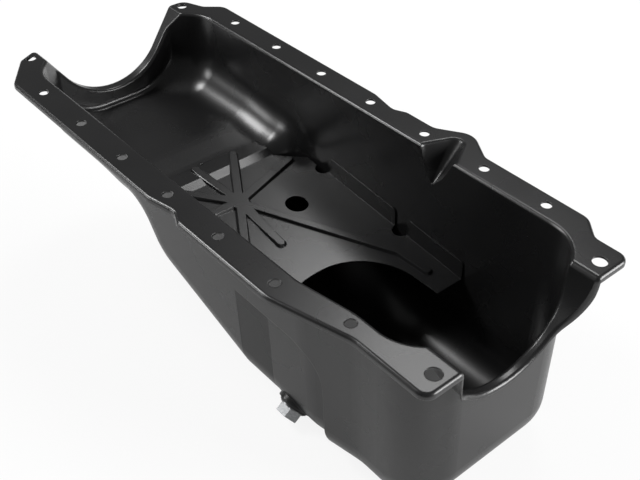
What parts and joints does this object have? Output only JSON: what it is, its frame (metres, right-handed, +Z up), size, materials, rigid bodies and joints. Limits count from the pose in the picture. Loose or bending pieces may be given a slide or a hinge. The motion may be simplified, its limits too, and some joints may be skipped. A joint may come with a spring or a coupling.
{
  "type": "engine oil pan",
  "caption": "Stamped steel engine oil pan: a shallow trough that drops to a deep rear sump, with end arches, a bolt flange, an inner baffle and a drain plug.",
  "frame": {"origin": "middle of the rail bolt pattern on the gasket face", "axes": "+X towards the engine's rear and the sump, +Y to the engine's right side, +Z up out of the gasket face"},
  "size_m": [0.5456, 0.2508, 0.1835],
  "materials": {
    "black_paint": "satin black coat",
    "zinc_plate": "zinc plated",
    "gasket_rubber": "matt"
  },
  "bodies": {
    "root": {"oil_pan": "black_paint", "sump_baffle": "black_paint", "drain_boss": "black_paint", "drain_plug": "zinc_plate", "drain_gasket": "gasket_rubber"}
  },
  "joints": []
}
